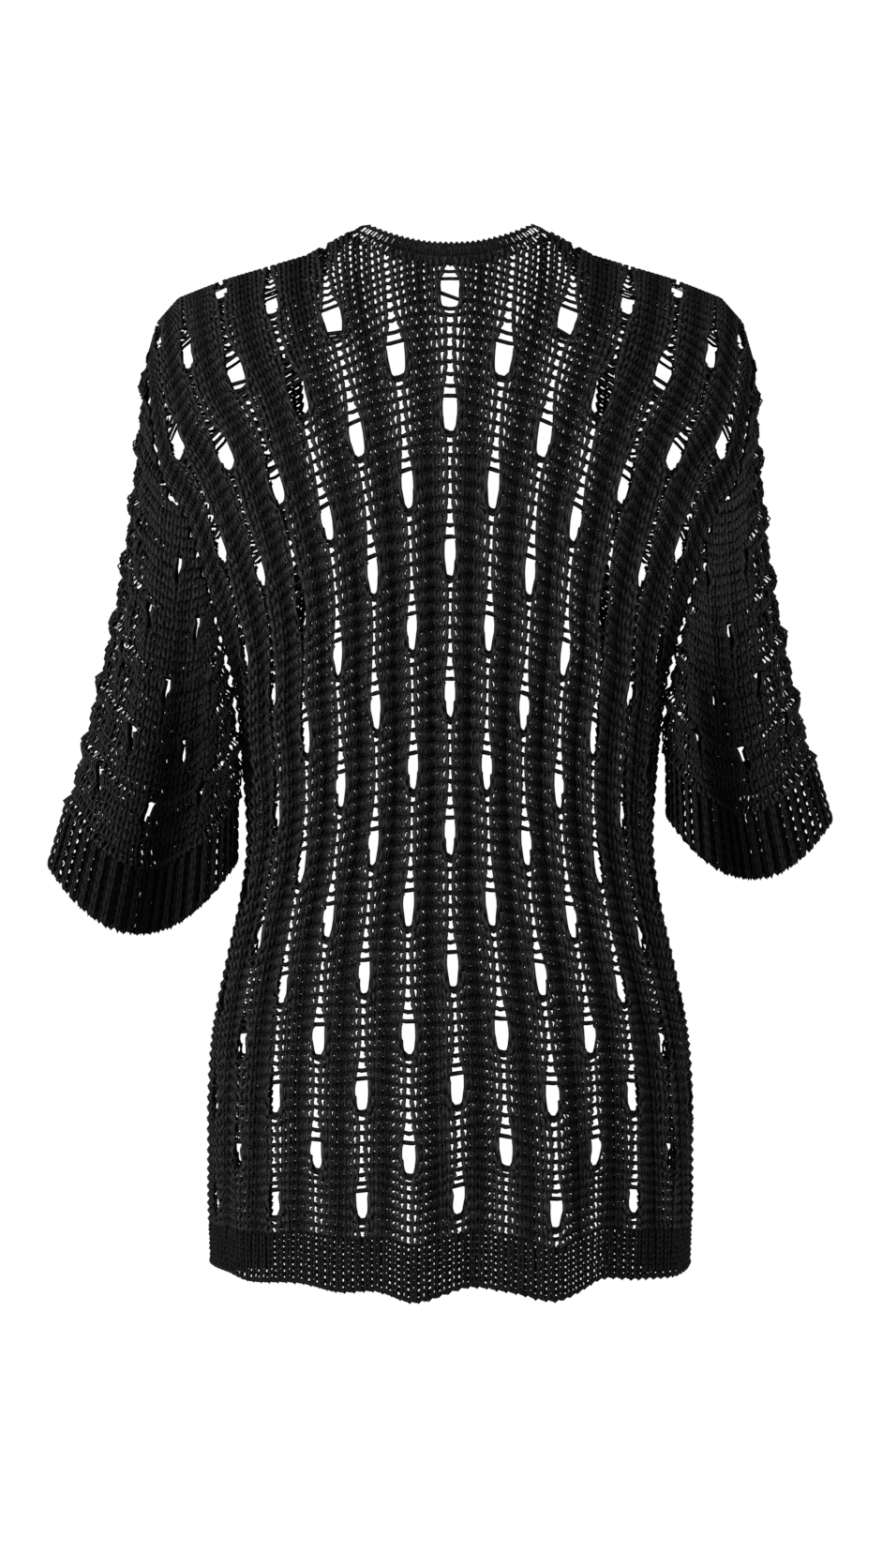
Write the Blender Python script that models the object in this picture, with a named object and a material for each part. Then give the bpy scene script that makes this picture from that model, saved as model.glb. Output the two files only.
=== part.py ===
"""Open-knit cardigan with batwing sleeves, worn open and hollow.

The back lies towards -Y, the open fronts towards +Y, +Z is up, and X = 0 is the garment's middle.
The origin is level with the two neck points, where the shoulders carry the garment.

Every panel is knitted from the hem up. Its cloth is drawn on a chart: `column` counts the columns of
drop-stitch holes from the middle, `course` counts knitted rows from the top of the hem rib. A chart
point is placed on the worn shape by torso_point or sleeve_point, and the wall is that chart twice,
once moved out and once moved in, with the holes left open.
"""

import math

import bmesh
import bpy
import numpy as np
from mathutils import Vector
from mathutils.geometry import delaunay_2d_cdt

MM = 0.001

# ---------------------------------------------------------------- sizes of the cloth
WALL = 2.4 * MM
SEAM_GAP = 0.3 * MM
TIP_CUT = 0.35  # how much of the corner at the shoulder's tip is cut off, in columns
SIDE_GAP = 0.01  # half a seam's gap, in columns
HEM_GAP = 0.04  # gap above the hem rib, in courses
SIDE_COLUMN = 7.0  # columns from the middle to the side seam or armhole
FIRST_HOLE_COURSE = 3
HOLE_STEP = 5  # courses from one row of holes to the next, which is shifted by a column
HOLE_HALF_HEIGHT = 1.55  # in courses
HEM_HEIGHT = 38 * MM
BAND_COLUMNS = 0.33  # width of the front band
RIB_RAISE = 0.9 * MM
RIBS_PER_COLUMN = 3.5

# ---------------------------------------------------------------- the worn torso
# One row for each row of holes, from just under the hem to the top of the shoulder, in millimetres.
# half_width is at the side seam or armhole, droop is how much lower the side lies than the middle, shift
# is how far the middle lies to the right, back and front are depths, spread is how much the middle
# columns are stretched, pleat is how far the columns stand proud and hole is half a hole's width.
SECTION_START = -2  # the table's first row, counted in hole rows from the lowest one
SECTION_COLUMNS = ("height", "half_width", "droop", "shift", "back", "front", "spread", "pleat", "hole")
SECTIONS = (
    (-771, 169, -20, 6, 126, 108, 0.00, 0.0, 5.2),
    (-730, 170, -10, 6, 126, 108, 0.00, 0.4, 5.2),
    (-689, 171, 3, 6, 125, 108, 0.00, 1.4, 5.0),
    (-654, 171, 7, 6, 124, 108, 0.00, 1.8, 5.4),
    (-611, 171, 13, 5, 121, 108, 0.00, 2.0, 5.6),
    (-572, 169, 14, 4, 115, 108, 0.00, 2.2, 5.6),
    (-527, 165, 32, 2, 106, 106, 0.00, 2.4, 4.6),
    (-482, 157, 40, 0, 94, 102, 0.00, 2.6, 4.3),
    (-434, 148, 48, 0, 85, 98, 0.00, 2.8, 4.0),
    (-385, 143, 58, 0, 80, 97, 0.00, 2.8, 3.9),
    (-337, 145, 62, 0, 80, 100, 0.00, 2.8, 3.9),
    (-286, 148, 80, 0, 84, 108, 0.02, 2.6, 4.0),
    (-238, 154, 86, 0, 90, 118, 0.05, 2.4, 4.4),
    (-184, 163, 105, 0, 97, 124, 0.12, 2.0, 5.0),
    (-137, 172, 118, 0, 100, 120, 0.22, 1.6, 6.2),
    (-92, 186, 118, 0, 98, 105, 0.30, 1.2, 7.8),
    (-51, 202, 132, 0, 88, 85, 0.38, 1.0, 8.8),
    (-24, 211, 112, 0, 72, 64, 0.42, 0.6, 6.5),
    (5, 214, 100, 0, 62, 56, 0.42, 0.3, 6.0),
    (34, 214, 95, 0, 58, 52, 0.42, 0.0, 6.0),
    (66, 214, 90, 0, 58, 52, 0.42, 0.0, 6.0),
)
DROOP_POWER = 1.5
SHOULDER_ROLL = 44 * MM  # radius on which the cloth rolls over the shoulder
ARMHOLE_OPEN = 0.24  # share of a quarter turn left open at the armhole

# The shoulder line, from the middle out: distance from the middle and height, in millimetres.
RIDGE = ((0, 20), (30, 16), (60, 0), (102, -23), (159, -40), (192, -53), (207, -70), (214, -95))
NECK_HALF_WIDTH = 60 * MM
NECK_DIP = 17 * MM  # how far the back of the neck lies under the neck points
NECK_BAND = 14 * MM

# Front edge of the front panels: course and column. The fronts are cut back to a deep V and hang open.
FRONT_EDGE = ((-8, 4.6), (42, 4.6), (52, 4.5), (62, 3.75), (70, 3.2), (78, 2.5), (88, 1.68))

# Soft vertical folds in the lower back and fronts: where, how wide, how far out, how far down.
FOLD_COLUMNS = ("column", "width", "out", "down")
FOLDS = (
    (-4.6, 0.7, 5, 3),
    (-2.5, 0.6, 4, 4),
    (-0.9, 0.6, 9, 8),
    (0.3, 0.5, -8, -3),
    (2.0, 0.7, 9, 9),
    (3.4, 0.5, -6, -3),
    (5.2, 0.7, 5, 2),
)
FOLD_START = 32  # course where the folds begin, from where they grow down to the hem

# ---------------------------------------------------------------- the arms
# Cuff edge as worn, in millimetres: outermost point, innermost point and the low point between.
ARM_COLUMNS = ("side", "underarm", "outer_x", "outer_z", "inner_x", "inner_z", "low_z")
ARMS = {
    "left": (-1, 46.0, 284, -455, 153, -452, -502),
    "right": (1, 49.5, 270, -423, 156, -420, -463),
}
CUFF_HEIGHT = 45 * MM
CUFF_BACK = 62 * MM
CUFF_FRONT = 56 * MM
CUFF_RIBS = 44
SLEEVE_COLUMNS = 18
SLEEVE_COURSE = 6.7 * MM
SLEEVE_HOLE_HALF_HEIGHT = 2.0  # in courses
SLEEVE_HOLE_HALF_WIDTH = 0.22  # in columns
# Hollows between the arm and the hanging cloth: place round the sleeve, width and depth.
HOLLOW_COLUMNS = ("round", "width", "depth")
HOLLOWS = ((0.27, 0.055, 0.42), (0.73, 0.07, 0.30))
SLEEVE_PLEAT = 2.0 * MM
SLEEVE_LAP = WALL + 1.0 * MM  # how far the sleeve lies outside the torso at the armhole
ARMHOLE_STEPS = 24  # steps along half of an armhole, shared by the sleeve and the torso

YARN_COLOUR = (0.022, 0.022, 0.024, 1.0)


def catmull_rom(values, at):
    """A smooth curve through evenly spaced values, read at positions counted in values."""
    values = np.asarray(values, float)
    at = np.clip(at, 0, len(values) - 1.0001)
    low = np.floor(at).astype(int)
    part = at - low
    p0, p1, p2, p3 = (values[np.clip(low + k, 0, len(values) - 1)] for k in (-1, 0, 1, 2))
    return p1 + 0.5 * part * (
        p2 - p0 + part * (2 * p0 - 5 * p1 + 4 * p2 - p3 + part * (3 * (p1 - p2) + p3 - p0))
    )


def section(name, course):
    """One named measure of the torso at a course."""
    values = [row[SECTION_COLUMNS.index(name)] for row in SECTIONS]
    return catmull_rom(values, (course - FIRST_HOLE_COURSE) / HOLE_STEP - SECTION_START)


def smoothstep(low, high, value):
    part = np.clip((value - low) / (high - low), 0, 1)
    return part * part * (3 - 2 * part)


def ridge_height(x):
    return np.interp(np.abs(x) / MM, [p[0] for p in RIDGE], [p[1] for p in RIDGE]) * MM


def arc_angle(share, wide, deep, turn):
    """Angle on an ellipse at which that share of its arc from 0 to turn is reached."""
    steps = 40
    angles = np.linspace(0, 1, steps + 1) * turn[..., None]
    middle = (angles[..., 1:] + angles[..., :-1]) / 2
    speed = np.hypot(wide[..., None] * np.cos(middle), deep[..., None] * np.sin(middle))
    along = np.concatenate([np.zeros(share.shape + (1,)), np.cumsum(speed, axis=-1)], axis=-1)
    wanted = share * along[..., -1]
    index = np.clip((along < wanted[..., None]).sum(-1) - 1, 0, steps - 1)
    low = np.take_along_axis(along, index[..., None], -1)[..., 0]
    high = np.take_along_axis(along, index[..., None] + 1, -1)[..., 0]
    return (index + (wanted - low) / np.maximum(high - low, 1e-12)) / steps * turn


def quarter_turn(column, course):
    """Angle from the middle to a panel's side: a full quarter, less above the underarm."""
    left, right = (ARMS[arm][ARM_COLUMNS.index("underarm")] for arm in ("left", "right"))
    underarm = np.where(column < 0, left, right)
    above = course - underarm
    opened = np.sin(np.clip(above / 20, 0, 1) * math.pi / 2) - 0.55 * smoothstep(24, 42, above)
    return (1 - ARMHOLE_OPEN * opened) * math.pi / 2


def torso_form(column, course, face):
    """The worn shape without its pleats: face is -1 on the back and 1 on the front."""
    column, course = np.broadcast_arrays(np.asarray(column, float), np.asarray(course, float))
    plain = np.abs(column) / SIDE_COLUMN
    share = plain * (1 + section("spread", course) * (1 - plain**2))
    turn = quarter_turn(column, course)
    wide = section("half_width", course) * MM / np.sin(turn)
    deep = section("back" if face < 0 else "front", course) * MM
    angle = arc_angle(share, wide, section("back", course) * MM, turn)
    x = np.sign(column) * wide * np.sin(angle) + section("shift", course) * (1 - plain**2) * MM
    z = (section("height", course) - section("droop", course) * plain**DROOP_POWER) * MM
    top = ridge_height(x)
    rolled = (top - z) / SHOULDER_ROLL + math.pi / 2 - 1
    y = face * deep * np.cos(angle) * np.sin(np.clip(rolled, -1, math.pi / 2))
    z = np.where(rolled < math.pi / 2, top - SHOULDER_ROLL * (1 - np.cos(rolled)), z)
    return np.stack([x, y, z], axis=-1)


def torso_point(column, course, face):
    """The worn shape with its pleats and folds."""
    column, course = np.broadcast_arrays(np.asarray(column, float), np.asarray(course, float))
    point = torso_form(column, course, face)
    step = 0.02
    across = torso_form(column + step, course, face) - torso_form(column - step, course, face)
    level = np.stack([-across[..., 1], across[..., 0], np.zeros_like(course)], axis=-1)
    level *= face / np.maximum(np.linalg.norm(level, axis=-1, keepdims=True), 1e-9)
    edge = 1 - smoothstep(SIDE_COLUMN - 0.6, SIDE_COLUMN, np.abs(column))
    if face > 0:
        from_band = np.abs(column) - front_edge_column(course)
        edge = edge * smoothstep(0.1, 0.8, from_band)
    out = section("pleat", course) * np.cos(2 * math.pi * column) * edge
    down = np.zeros_like(course)
    grow = 1 - smoothstep(-5, FOLD_START, course)
    for fold in FOLDS:
        place, width, proud, drop = fold
        shape = np.exp(-(((column * -face - place) / width) ** 2)) * edge * grow
        out = out + proud * shape
        down = down + drop * shape
    point = point + level * (out * MM)[..., None]
    point[..., 2] -= down * MM
    return point


def arm_value(arm, name):
    return ARMS[arm][ARM_COLUMNS.index(name)]


def armhole_top(arm):
    return top_course(arm_value(arm, "side") * SIDE_COLUMN, 1, 0)


def on_armhole(arm, turn, place):
    """Reads place(column, course, face) along the armhole's loop: turn 0 is the shoulder tip,
    0.25 is half way down the back and 0.5 is the underarm."""
    turn = np.asarray(turn, float) % 1.0
    side = arm_value(arm, "side")
    half = np.where(turn <= 0.5, turn, 1 - turn) * 2
    tip = armhole_top(arm)
    course = tip + (arm_value(arm, "underarm") - tip) * half
    column = np.full_like(course, side * SIDE_COLUMN)
    back = place(column, course, -1)
    front = place(column, course, 1)
    return np.where((turn <= 0.5)[..., None], back, front)


def torso_normal(column, course, face):
    """The outward normal of the torso's cloth without its pleats."""
    step = 0.03
    across = torso_form(column + step, course, face) - torso_form(column - step, course, face)
    along = torso_form(column, course + step, face) - torso_form(column, course - step, face)
    normal = np.cross(across, along) * -face
    return normal / np.maximum(np.linalg.norm(normal, axis=-1, keepdims=True), 1e-12)


def armhole_point(arm, turn):
    return on_armhole(arm, turn, torso_form)


def cuff_point(arm, turn, up=0.0):
    """The cuff's edge, or the loop that lies `up` metres above it along the arm."""
    turn = np.asarray(turn, float)
    side = arm_value(arm, "side")
    outer_x, inner_x = arm_value(arm, "outer_x") * MM, arm_value(arm, "inner_x") * MM
    outer_z, inner_z = arm_value(arm, "outer_z") * MM, arm_value(arm, "inner_z") * MM
    sag = (outer_z + inner_z) / 2 - arm_value(arm, "low_z") * MM
    angle = 2 * math.pi * turn
    depth = np.where(np.sin(angle) > 0, CUFF_BACK, CUFF_FRONT)
    for place, width, share in HOLLOWS:
        depth = depth * (1 - share * np.exp(-(((turn % 1.0 - place) / width) ** 2)))
    x = side * ((outer_x + inner_x) / 2 + (outer_x - inner_x) / 2 * np.cos(angle))
    y = -depth * np.sin(angle)
    z = (outer_z + inner_z) / 2 + (outer_z - inner_z) / 2 * np.cos(angle)
    z = z - sag * np.sin(angle) ** 2
    lean = np.stack([-side * (0.15 + 0.14 * np.cos(angle)), 0.04 * np.sin(angle), np.ones_like(angle)], -1)
    lean /= np.linalg.norm(lean, axis=-1, keepdims=True)
    return np.stack([x, y, z], axis=-1) + lean * np.asarray(up)[..., None]


def cuff_normal(arm, turn, up):
    """The outward normal of the cuff's cloth."""
    around = cuff_point(arm, turn + 0.002, up) - cuff_point(arm, turn - 0.002, up)
    rise = cuff_point(arm, turn, up + MM) - cuff_point(arm, turn, up)
    normal = np.cross(rise, around) * arm_value(arm, "side")
    return normal / np.linalg.norm(normal, axis=-1, keepdims=True)


def sleeve_form(arm, turn, reach):
    """Sleeve cloth: reach 0 at the armhole and 1 at the top of the cuff."""
    turn, reach = np.broadcast_arrays(np.asarray(turn, float), np.asarray(reach, float))
    start = armhole_point(arm, turn) + on_armhole(arm, turn, torso_normal) * SLEEVE_LAP
    end = cuff_point(arm, turn, CUFF_HEIGHT + SEAM_GAP)
    angle = 2 * math.pi * turn
    side = arm_value(arm, "side")
    bulge = np.sin(math.pi * reach)
    point = start + (end - start) * reach[..., None]
    outer = (1 + np.cos(angle)) / 2
    sideways = side * bulge * (4 * (1 - outer) - 10 * outer**2)
    backwards = -bulge * 10 * np.sin(angle)
    return point + np.stack([sideways, backwards, np.zeros_like(reach)], axis=-1) * MM


def sleeve_length(arm, turn):
    """How long the sleeve cloth is, from the armhole to the cuff, at a place round it."""
    gap = cuff_point(arm, turn, CUFF_HEIGHT) - armhole_point(arm, turn)
    return np.linalg.norm(gap, axis=-1)


def sleeve_point(arm, column, course):
    """Sleeve chart: column goes round from the outside by the back, course counts up from the cuff."""
    turn, reach = sleeve_place(arm, column, course)
    pleat = SLEEVE_PLEAT * np.cos(2 * math.pi * turn * SLEEVE_COLUMNS) * np.sin(math.pi * np.clip(reach, 0, 1))
    return sleeve_form(arm, turn, reach) + sleeve_form_normal(arm, turn, reach) * pleat[..., None]


def sleeve_place(arm, column, course):
    turn = np.asarray(column, float) / SLEEVE_COLUMNS
    reach = 1 - np.asarray(course, float) * SLEEVE_COURSE / sleeve_length(arm, turn)
    return np.broadcast_arrays(turn, reach)


def sleeve_form_normal(arm, turn, reach):
    step = 0.004
    around = sleeve_form(arm, turn + step, reach) - sleeve_form(arm, turn - step, reach)
    along = sleeve_form(arm, turn, reach + step) - sleeve_form(arm, turn, reach - step)
    normal = np.cross(around, along) * arm_value(arm, "side")
    return normal / np.maximum(np.linalg.norm(normal, axis=-1, keepdims=True), 1e-12)


def sleeve_normal(arm, column, course):
    """The sleeve's outward normal, which turns to its neighbour's at each end so that the walls meet."""
    turn, reach = sleeve_place(arm, column, course)
    length = sleeve_length(arm, turn)
    to_armhole = np.exp(-((np.clip(reach, 0, 1) * length / (12 * MM)) ** 2))
    to_cuff = np.exp(-(((1 - np.clip(reach, 0, 1)) * length / (12 * MM)) ** 2))
    own = np.clip(1 - to_armhole - to_cuff, 0, 1)
    normal = sleeve_form_normal(arm, turn, reach) * own[..., None]
    normal = normal + on_armhole(arm, turn, torso_normal) * to_armhole[..., None]
    normal = normal + cuff_normal(arm, turn, CUFF_HEIGHT) * to_cuff[..., None]
    return normal / np.linalg.norm(normal, axis=-1, keepdims=True)


def sleeve_top(arm, column):
    """The highest course at a place round the sleeve."""
    return sleeve_length(arm, np.asarray(column, float) / SLEEVE_COLUMNS) / SLEEVE_COURSE


# ---------------------------------------------------------------- edges of the panels
def neck_height(x, band):
    """Height of the back neck's edge, or of the line a band's width under it."""
    half = NECK_HALF_WIDTH + band
    end = ridge_height(half)
    low = -NECK_DIP - band
    return low + (end - low) * np.minimum(np.abs(x) / half, 1) ** 2.2


def top_course(column, face, band):
    """Highest course of a panel: at the shoulder line, or at the neck where the column meets it."""
    low, high = 60.0, 96.0
    for _ in range(30):
        middle = (low + high) / 2
        x, y, z = torso_form(column, middle, face)
        under = y * face > SEAM_GAP / 2
        if face < 0 and abs(x) < NECK_HALF_WIDTH + band:
            under = under and z < neck_height(x, band)
        if under:
            low = middle
        else:
            high = middle
    return low


def front_edge_column(course):
    return np.interp(course, [p[0] for p in FRONT_EDGE], [p[1] for p in FRONT_EDGE])


def hem_course():
    """The course at which the hem rib ends, counted down from its top."""
    heights = section("height", np.array([0.0, -5.0])) * MM
    return -5.0 * HEM_HEIGHT / (heights[0] - heights[1])


# ---------------------------------------------------------------- making a wall
def new_material(name, colour, roughness):
    material = bpy.data.materials.new(name)
    material.use_nodes = True
    shader = material.node_tree.nodes["Principled BSDF"]
    shader.inputs["Base Color"].default_value = colour
    shader.inputs["Roughness"].default_value = roughness
    shader.inputs["Metallic"].default_value = 0.0
    return material


def chart_triangles(outline, holes, inner_points):
    """Triangulates a chart's outline with its holes left out. Returns points, triangles and border edges."""
    points, edges = [], []
    for loop in [outline] + holes:
        first = len(points)
        points += loop
        edges += [(first + k, first + (k + 1) % len(loop)) for k in range(len(loop))]
    points += inner_points
    placed, _, faces, _, _, _ = delaunay_2d_cdt([Vector(p) for p in points], edges, [], 0, 1e-7)
    placed = np.array([tuple(p) for p in placed])
    kept = []
    for face in faces:
        middle = placed[list(face)].mean(axis=0)
        if inside(middle, outline) and not any(inside(middle, hole) for hole in holes):
            kept.append(tuple(face))
    return placed, kept


def inside(point, loop):
    crossings = False
    x, y = point
    for (x0, y0), (x1, y1) in zip(loop, loop[1:] + loop[:1]):
        if (y0 > y) != (y1 > y) and x < x0 + (y - y0) / (y1 - y0) * (x1 - x0):
            crossings = not crossings
    return crossings


def make_wall(name, place, normal, outline, holes, inner_points, flip, material, rib=None):
    """One closed wall on a chart: its outer points stand out, its inner points in, and rib raises the
    outer ones. flip is 1 where columns run to the right as seen from outside, and -1 to the left."""
    chart, triangles = chart_triangles(outline, holes, inner_points)
    used = sorted({index for triangle in triangles for index in triangle})
    renumber = {old: new for new, old in enumerate(used)}
    chart = chart[used]
    triangles = [tuple(renumber[i] for i in t) for t in triangles]
    middle = place(chart[:, 0], chart[:, 1])
    normals = normal(chart[:, 0], chart[:, 1])
    raised = rib(chart) if rib else np.zeros(len(chart))
    outer = middle + normals * (WALL / 2 + raised)[:, None]
    inner = middle - normals * WALL / 2
    count = len(chart)
    mesh = bmesh.new()
    verts = [mesh.verts.new(p) for p in np.concatenate([outer, inner])]
    borders = {}
    for a, b, c in triangles:
        (u1, v1), (u2, v2) = chart[b] - chart[a], chart[c] - chart[a]
        turned = (u1 * v2 - u2 * v1) * flip < 0
        a, b, c = (a, c, b) if turned else (a, b, c)
        mesh.faces.new((verts[a], verts[b], verts[c]))
        mesh.faces.new((verts[c + count], verts[b + count], verts[a + count]))
        for edge in ((a, b), (b, c), (c, a)):
            if edge[::-1] in borders:
                del borders[edge[::-1]]
            else:
                borders[edge] = True
    for a, b in borders:
        mesh.faces.new((verts[b], verts[a], verts[a + count], verts[b + count]))
    data = bpy.data.meshes.new(name)
    mesh.to_mesh(data)
    mesh.free()
    data.shade_smooth()
    data.set_sharp_from_angle(angle=math.radians(50))
    data.materials.append(material)
    panel = bpy.data.objects.new(name, data)
    bpy.context.collection.objects.link(panel)
    return panel


def torso_wall(name, face, outline, holes, inner_points, material, rib=None):
    """A wall on the torso's chart, whose normals follow the pleats and fade to the plain form at the sides."""

    def place(column, course):
        return torso_point(column, course, face)

    def normal(column, course):
        step = 0.03
        across = place(column + step, course) - place(column - step, course)
        along = place(column, course + step) - place(column, course - step)
        own = np.cross(across, along) * -face
        own /= np.maximum(np.linalg.norm(own, axis=-1, keepdims=True), 1e-12)
        edge = smoothstep(SIDE_COLUMN - 0.5, SIDE_COLUMN, np.abs(column))[..., None]
        mixed = own * (1 - edge) + torso_normal(column, course, face) * edge
        return mixed / np.linalg.norm(mixed, axis=-1, keepdims=True)

    return make_wall(name, place, normal, outline, holes, inner_points, -face, material, rib)


def hole_loop(column, course, half_width, half_height, sides):
    """An upright oval, wider above its middle, as a drop-stitch hole hangs."""
    loop = []
    for k in range(sides):
        angle = 2 * math.pi * (k + 0.5) / sides
        lift = math.sin(angle)
        loop.append((
            column + half_width * math.cos(angle) * (1 + 0.15 * lift),
            course + half_height * lift,
        ))
    return loop


def torso_hole(column, course, face, sides):
    """A hole of the torso, as wide as its row's holes are."""
    near = torso_form([column - 0.3, column + 0.3], course, face)
    a_column = float(np.linalg.norm(near[1] - near[0])) / 0.6
    half_width = float(section("hole", course)) * MM / a_column
    return hole_loop(column, course, half_width, HOLE_HALF_HEIGHT, sides)


def hole_places(columns, low, high):
    """Chart places of the staggered holes between two courses: columns alternate from row to row."""
    places = []
    for step in range(40):
        course = FIRST_HOLE_COURSE + HOLE_STEP * step
        places += [(c, course) for c in columns if (c + step) % 2 == 0 and low(c) <= course <= high(c)]
    return places


# ---------------------------------------------------------------- the garment's pieces
def make_back(material):
    """Back panel, from the hem rib to the shoulder seams and the neck band."""
    outline = [(c, HEM_GAP) for c in rib_columns(-SIDE_COLUMN, SIDE_COLUMN)]
    outline += [(side_edge(n, 1), n) for n in side_steps(1)]
    neck = neck_columns()
    tops = shoulder_columns(1) + neck[::-1] + [-c for c in shoulder_columns(-1)[::-1]]
    outline += [(c, top_course(c, -1, NECK_BAND)) for c in tops]
    outline += [(-side_edge(n, -1), n) for n in side_steps(-1)[::-1]]
    places = hole_places(range(-6, 7), lambda c: 0, lambda c: top_course(c, -1, NECK_BAND) - 2.6)
    holes = [torso_hole(c, n, -1, 8) for c, n in places]
    ridges = [(c, n + HOLE_STEP) for c, n in places if n + HOLE_STEP < top_course(c, -1, NECK_BAND) - 1.5]
    grooves = [
        (c + 0.5, FIRST_HOLE_COURSE + HOLE_STEP * k)
        for c in range(-7, 7)
        for k in range(17)
        if FIRST_HOLE_COURSE + HOLE_STEP * k < top_course(c + 0.5, -1, NECK_BAND) - 1.5
    ]
    return torso_wall("back", -1, outline, holes, ridges + grooves, material)


def make_front(side, material):
    """A front panel: side seam and armhole at one side, the deep V of the front edge at the other."""
    name = "front_left" if side < 0 else "front_right"

    def edge(course):
        return front_edge_column(course) + SIDE_GAP

    corner = front_corner(side)
    bottom = [(c, HEM_GAP) for c in rib_columns(front_edge_column(0), SIDE_COLUMN)]
    side_up = [(side_edge(n, side), n) for n in side_steps(side)]
    top = [(c, top_course(side * c, 1, 0)) for c in shoulder_columns(side) + [edge(corner)]]
    front_down = [(edge(n), n) for n in front_steps(side)[::-1]]
    outline = bottom + side_up + top + front_down
    places = [
        (c, n)
        for c, n in hole_places(range(2, 7), lambda c: 0, lambda c: top_course(side * c, 1, 0) - 2.6)
        if c > front_edge_column(n) + 0.3
    ]
    holes = [torso_hole(side * c, n, 1, 6) for c, n in places]
    holes = [[(abs(u), v) for u, v in hole] for hole in holes]
    ridges = [(c, n + HOLE_STEP) for c, n in places if n + HOLE_STEP < top_course(side * c, 1, 0) - 1.5]
    grooves = [
        (c + 0.5, FIRST_HOLE_COURSE + HOLE_STEP * k)
        for c in range(2, 7)
        for k in range(17)
        if FIRST_HOLE_COURSE + HOLE_STEP * k < top_course(side * (c + 0.5), 1, 0) - 1.5
        and c + 0.5 > front_edge_column(FIRST_HOLE_COURSE + HOLE_STEP * k) + 0.3
    ]
    inner = ridges + grooves
    if side < 0:
        outline, holes = [mirrored(outline)[::-1], [mirrored(h)[::-1] for h in holes]]
        inner = mirrored(inner)
    return torso_wall(name, 1, outline, holes, inner, material)


def rib_columns(first, last):
    """Columns of the hem's ribs and grooves between two edges of a panel."""
    count = int(round((last - first) * RIBS_PER_COLUMN)) * 2
    return [float(c) for c in np.linspace(first + SIDE_GAP, last - SIDE_GAP, count + 1)]


def front_corner(side):
    """The course at which the front edge meets the shoulder line."""
    return top_course(side * FRONT_EDGE[-1][1], 1, 0)


def front_steps(side):
    """Courses of the points that the front band and the front share along their seam."""
    return [float(n) for n in np.linspace(0, front_corner(side), 31)[1:-1]]


def shoulder_columns(side):
    """Columns of the points that back and front share along a shoulder seam, from the arm inwards."""
    outer = side_edge(armhole_top("left" if side < 0 else "right"), side) - TIP_CUT
    return [float(c) for c in np.linspace(outer, FRONT_EDGE[-1][1], 16)[:-1]]


def neck_columns():
    """Columns of the points along the line where the neck band meets the back."""
    end = FRONT_EDGE[-1][1]
    return [float(c) for c in np.linspace(-end, end, 13)]


def side_edge(course, side):
    """The column at which a panel ends, a seam's gap before the side seam or the armhole."""
    step = 0.02
    near = torso_form(side * (SIDE_COLUMN - step), course, -1)
    far = torso_form(side * SIDE_COLUMN, course, -1)
    return SIDE_COLUMN - SEAM_GAP * step / float(np.linalg.norm(far - near))


def side_steps(side):
    """Courses of the points that the side seam and the armhole share with their neighbours."""
    arm = "left" if side < 0 else "right"
    underarm = arm_value(arm, "underarm")
    seam = np.linspace(0, underarm, 10)[1:]
    armhole = np.linspace(underarm, armhole_top(arm), ARMHOLE_STEPS + 1)[1:-1]
    return [float(n) for n in np.concatenate([seam, armhole])]


def mirrored(points):
    return [(-u, v) for u, v in points]


def make_hem(name, face, first, last, material):
    """Ribbed hem under one panel, a strip of one course's height with upright ribs outside."""
    bottom = hem_course()
    columns = rib_columns(first, last)
    outline = [(c, bottom) for c in columns] + [(c, 0.0) for c in columns[::-1]]

    def rib(chart):
        order = np.round((chart[:, 0] - columns[0]) / (columns[1] - columns[0]))
        return np.where(order % 2 == 1, RIB_RAISE, 0.0)

    return torso_wall(name, face, outline, [], [], material, rib)


def make_front_band(side, material):
    """Band knitted along a front edge, from the hem's bottom to the shoulder line."""
    name = "front_band_left" if side < 0 else "front_band_right"
    bottom = hem_course()
    courses = [bottom, 0.0] + front_steps(side) + [front_corner(side)]
    narrow = [(front_edge_column(n) - BAND_COLUMNS, float(n)) for n in courses]
    wide = [(front_edge_column(n) - SIDE_GAP, float(n)) for n in courses]
    narrow[-1] = (narrow[-1][0], top_course(side * narrow[-1][0], 1, 0))
    wide[-1] = (wide[-1][0], top_course(side * wide[-1][0], 1, 0))
    outline = [(side * u, v) for u, v in wide + narrow[::-1]]
    return torso_wall(name, 1, outline, [], [], material)


def make_neck_band(material):
    """Band round the back of the neck, from shoulder line to shoulder line."""
    lower = [(c * 0.994, top_course(c, -1, NECK_BAND) + 0.03) for c in neck_columns()[1:-1]]
    end = neck_columns()[-1] * 0.994
    inner_end = end - BAND_COLUMNS
    upper = [(c, top_course(c, -1, 0)) for c in np.linspace(-inner_end, inner_end, 15)]
    outline = [(-end, top_course(-end, -1, 0))] + lower + [(end, top_course(end, -1, 0))] + upper[::-1]
    return torso_wall("neck_band", -1, outline, [], [], material)


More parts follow.
